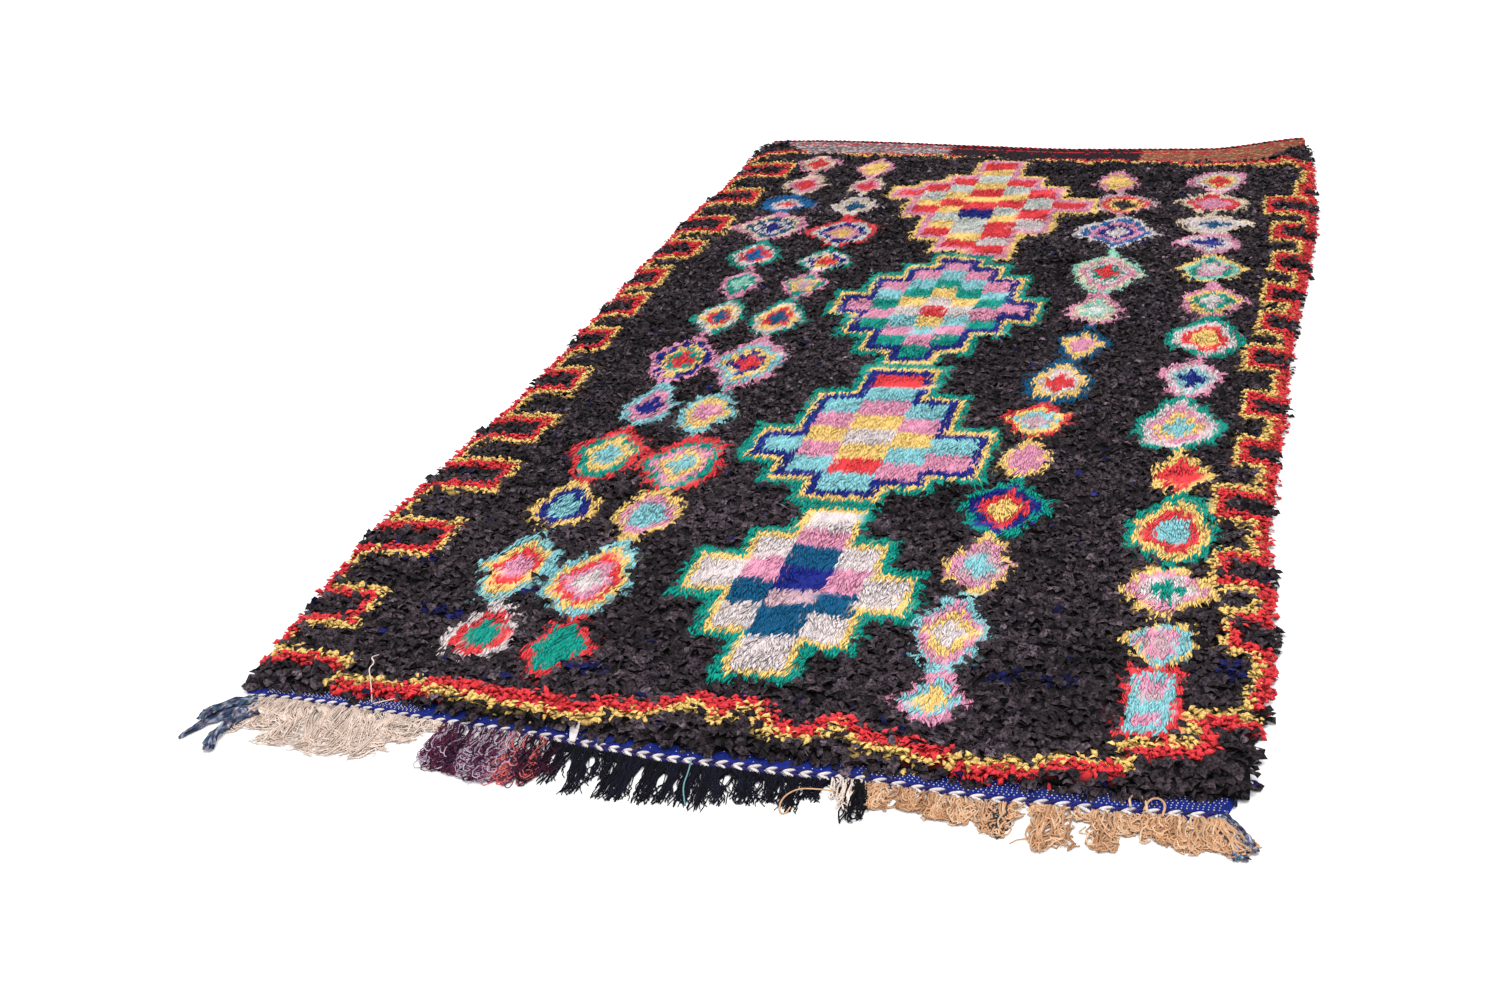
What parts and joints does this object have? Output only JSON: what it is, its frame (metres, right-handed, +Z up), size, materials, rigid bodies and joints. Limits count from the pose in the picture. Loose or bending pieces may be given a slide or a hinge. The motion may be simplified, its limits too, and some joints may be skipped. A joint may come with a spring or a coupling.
{
  "type": "boucherouite rug",
  "caption": "Hand-knotted rag pile rug with stepped lozenge motifs, a toothed border, flat-woven ends, a twined near edge and mixed yarn fringe, lying flat.",
  "frame": {"origin": "middle of the rug's underside, on the floor", "axes": "+Y along the rug to its far plain end, +X across it with the fringe nearest the viewer, +Z up"},
  "size_m": [1.4298, 2.7764, 0.0365],
  "materials": {
    "foundation": "matte flat weave, royal blue near band, grey and brown far band",
    "pile": "matte knotted rag pile, charcoal with many-coloured motifs",
    "twined_edge": "matte twined yarn, white and royal blue",
    "far_cord": "matte twisted yarn, red and black",
    "rag_left": "matte thin denim-blue rag",
    "yarn_cream": "matte curly cotton yarn",
    "yarn_plum": "matte curly plum and grey yarn",
    "yarn_navy": "matte fine navy yarn",
    "yarn_knot": "matte cream and black yarn",
    "yarn_tan": "matte fuzzy plied wool",
    "rag_right": "matte thin grey-blue rag"
  },
  "bodies": {
    "root": {"foundation": "foundation", "pile": "pile", "twined_edge": "twined_edge", "far_cord": "far_cord", "fringe_rag_left": "rag_left", "fringe_cream": "yarn_cream", "fringe_plum": "yarn_plum", "fringe_navy": "yarn_navy", "fringe_knot": "yarn_knot", "fringe_tan": "yarn_tan", "fringe_rag_right": "rag_right"}
  },
  "joints": []
}
